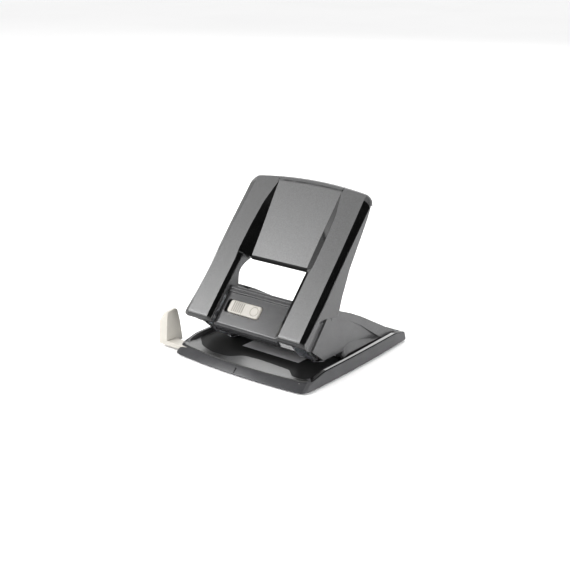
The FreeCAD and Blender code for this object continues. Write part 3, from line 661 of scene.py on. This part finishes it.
def make_base():
    """Skirt in one skin: rolled foot, slanted wall, groove, bead of the rim, inner wall."""
    def plan(share, inset):
        mixed = {key: between(FOOT[key], BRIM[key], share) for key in FOOT}
        mixed["half_front"] -= inset
        mixed["half_rear"] -= inset
        mixed["front"] += inset
        mixed["rear"] -= inset
        return base_plan(**mixed)

    # (height share, inset, share of the way from foot to brim), then (inset, height share)
    levels = [(0.0, 0.7, 0.0), (0.04, 0.15, 0.05), (0.1, 0.0, 0.1), (0.4, 0.0, 0.4),
              (0.7, 0.0, 0.7), (0.86, 0.0, 0.9), (0.90, 0.12, 0.95), (0.915, 0.35, 1.0)]
    bead = [(0.45, 0.86), (0.55, 0.80), (1.15, 0.80), (1.25, 0.91), (1.4, 0.94), (3.1, 1.015),
            (3.45, 1.0), (3.7, 0.93), (3.8, 0.80)]
    rings = []
    for up, inset, share in levels:
        rings.append([(x, y, between(BOTTOM, rim_height(y), up)) for x, y in plan(share, inset)])
    for inset, up in bead:
        ring = []
        for x, y in plan(1.0, inset):
            lively = swell(y, -58, -50)
            flat = 1.0 - 0.02 * inset
            ring.append((x, y, between(BOTTOM, rim_height(y), between(flat, up, lively))))
        rings.append(ring)
    for share, inset, height in ((1.0, 3.8, 6.3), (0.5, 3.2, 4.0), (0.0, 2.6, BOTTOM)):
        rings.append([(x, y, height) for x, y in plan(share, inset)])
    count = len(rings[0])

    # Painted shade: the groove between the outer wall and the bead is coloured dark for the shade
    # in it; the bead is glossy, the inner wall matte.
    def look_of(row, step):
        if row >= 14:
            return 2
        if row < 7 or not 19 < step < count - 6:
            return 4 if step < 18 or step > count - 4 else 0
        return 1 if row < 11 else 3

    skirt = skin("base_skin", rings, in_base, (SKIRT, DARK_AND_PAINTED_SHADE, MATTE, GLOSS, FASCIA), look_of,
                 *BASE, capped=False)
    # the lower edges of the outer and the inner wall are joined
    close = bmesh.new()
    close.from_mesh(skirt.data)
    first = [v for v in close.verts if v.index < count]
    last = [v for v in close.verts if v.index >= count * (len(rings) - 1)]
    for k in range(count):
        close.faces.new((first[k], last[k], last[(k + 1) % count], first[(k + 1) % count]))
    close.to_mesh(skirt.data)
    close.free()
    outward(skirt)


def die_seat(side):
    """The round hole for one die, as a function of its growth."""
    across, back = DIES
    return lambda grow: circle(side * across, back, DIE_RADIUS + grow, 48)


def make_deck():
    """The plate the paper lies on, a dark sheet painted over it where the lever's dark reflection
    and shade fall, and the centre tick on the front.
    """
    plate = ("base", "deck_plate", "black_gloss")

    def window(grow):
        return rounded(-53.5 - grow, 53.5 + grow, -34.05 - grow, -8.95 + grow, 0.4, 3)

    outer = base_plan(58.2, 57.4, -57.3, 63.8, 5.2, 0.2, 5)
    sheet("deck_plain", outer, [window], *DECK, in_base, (BAND,), *plate)
    # Painted shade: a dark sheet over the deck, outlined where the lever's dark reflection and
    # shade lie.
    shade_outline = roll([(56.6, 60, 1), (56.6, -54.5, 1.5), (44, -55.5, 5), (35.5, -47.8, 6),
                  (8, -46.4, 30), (-7, -47.6, 8), (-15, -56, 9), (-30, -56.6, 12), (-44, -52, 20),
                  (-56.6, -40, 8), (-56.6, 60, 1)], 6)
    shade_outline = [tuple(p) for p in shade_outline]
    sheet("deck_dark_and_painted_shade", shade_outline, [window], 7.68, 7.5, 0.05, in_base, (DARK_AND_PAINTED_SHADE,), *plate)
    # The die strip in three pieces: its two ends are painted dark for the shade of the brackets,
    # the middle is a light plate.
    for name, left, right, seats, look in (
            ("strip_left_painted_shade", -53.4, -20.2, [die_seat(-1)], DARK_AND_PAINTED_SHADE),
            ("strip_middle", -20.1, 33.0, [], STRIP),
            ("strip_right_painted_shade", 33.1, 53.4, [die_seat(1)], DARK_AND_PAINTED_SHADE)):
        outline = [(left, -34), (right, -34), (right, -9), (left, -9)]
        sheet(name, outline, seats, *DECK, in_base, (look,), "base", "die_strip", "zinc_steel")
    profile = roll([(-0.22, 0, 0.05), (0.22, 0, 0.05), (0.22, 1, 0.05), (-0.22, 1, 0.05)], 2)
    rings = []
    for share in (0, 0.1, 0.9, 1):
        front, height = between(-67.2, -64.2, share) - 0.12, between(2.0, 5.2, share) + 0.15
        rings.append([(x, front + 0.3 * (y - 0.5), height - 0.3 * (y - 0.5)) for x, y in profile])
    outward(skin("front_tick", rings, in_base, (DARK_AND_PAINTED_SHADE,), plain, *BASE))


def make_cheek_foot():
    """A slanted foot that closes the gap between the hump's cheek and the rim; its lower face is
    painted dark for the shade of the seam along the rim.
    """
    for side, label in ((1, "right"), (-1, "left")):
        rings = []
        for k in range(41):
            y = between(-9, 62, k / 40)
            taper = 1 - swell(y, -9, -3)
            top = between(18.5, 12.5, swell(y, 0, 36)) - 3.4 * swell(y, 34, 60) - 7 * taper
            low = 10.9 - 2.6 * swell(y, 46, 60) - 1.5 * taper
            profile = roll([(52.9, top, 0.3), (55.6, low, 0.3), (55.9, 7.65, 0.1),
                            (52.9, 7.65, 0.1)], 3)
            rings.append([(side * x, y, z) for x, z in profile])
        outward(skin("cheek_foot_" + label, rings, in_base, (HEAD, DARK_AND_PAINTED_SHADE),
                     lambda row, step: 0 if step < 6 else 1, "base"))


make_base()
make_deck()
make_cheek_foot()


# ---------------------------------------------------------------- studio

def light(name, place, target, size, power):
    """White softbox that faces its target."""
    data = bpy.data.lights.new(name, "AREA")
    data.shape = "RECTANGLE"
    data.size, data.size_y = size
    data.energy = power
    obj = bpy.data.objects.new(name, data)
    obj.location = place
    obj.rotation_mode = "QUATERNION"
    obj.rotation_quaternion = (Vector(target) - Vector(place)).to_track_quat("-Z", "Y")
    bpy.context.scene.collection.objects.link(obj)


def make_studio():
    """White floor, three softboxes, and a white surround with a dark flag at the right."""
    bpy.ops.mesh.primitive_plane_add(size=60, location=(0, 0, 0))
    floor = bpy.context.object
    floor.name = "floor"
    floor.data.materials.append(moulded("floor_white", (0.93, 0.93, 0.93), (0.95, 0.95, 0.95),
                                        (0.85, 0.95), 3, 0.0, specular=0.0, cloud=2))
    centre = Vector((0, -0.01, 0.06))
    low_face = Vector((0.0, -0.05, 0.045))
    key = low_face + Vector((-0.557, -0.579, 0.449)).normalized() * 0.55
    light("key_softbox", key, low_face, (0.22, 0.22), 3.3)
    light("side_softbox", centre + Vector((0.93, -0.25, 0.25)), centre, (0.5, 0.5), 11)
    light("back_softbox", centre + Vector((-0.35, 1.0, 0.85)) * 1.3, centre, (1.6, 0.7), 22)
    world = bpy.data.worlds.new("studio")
    bpy.context.scene.world = world
    world.use_nodes = True
    tree = world.node_tree
    background = tree.nodes["Background"]
    background.inputs["Color"].default_value = (1, 1, 1, 1)
    coords = tree.nodes.new("ShaderNodeTexCoord")
    dot = tree.nodes.new("ShaderNodeVectorMath")
    dot.operation = "DOT_PRODUCT"
    dot.inputs[1].default_value = (0.60, -0.38, 0.70)
    tree.links.new(coords.outputs["Generated"], dot.inputs[0])
    flag = tree.nodes.new("ShaderNodeMapRange")
    flag.interpolation_type = "SMOOTHSTEP"
    flag.inputs["From Min"].default_value = 0.60
    flag.inputs["From Max"].default_value = 0.86
    flag.inputs["To Min"].default_value = 1.45
    flag.inputs["To Max"].default_value = 0.0
    tree.links.new(dot.outputs["Value"], flag.inputs["Value"])
    tree.links.new(flag.outputs["Result"], background.inputs["Strength"])


def make_camera():
    """From the front right and a little above."""
    data = bpy.data.cameras.new("camera")
    data.lens, data.sensor_width = 67.5, 36
    data.clip_start, data.clip_end = 0.05, 100
    camera = bpy.data.objects.new("camera", data)
    azimuth, rise = math.radians(38.33), math.radians(18.95)
    back = Vector((math.sin(azimuth) * math.cos(rise), -math.cos(azimuth) * math.cos(rise),
                   math.sin(rise)))
    target = Vector((-1.27, -6.0, 52.05)) * MM
    camera.location = target + back * 0.7953
    camera.rotation_mode = "QUATERNION"
    camera.rotation_quaternion = (-back).to_track_quat("-Z", "Y")
    bpy.context.scene.collection.objects.link(camera)
    bpy.context.scene.camera = camera


make_studio()
make_camera()
scene = bpy.context.scene
scene.view_settings.view_transform = "Standard"
scene.view_settings.look = "None"
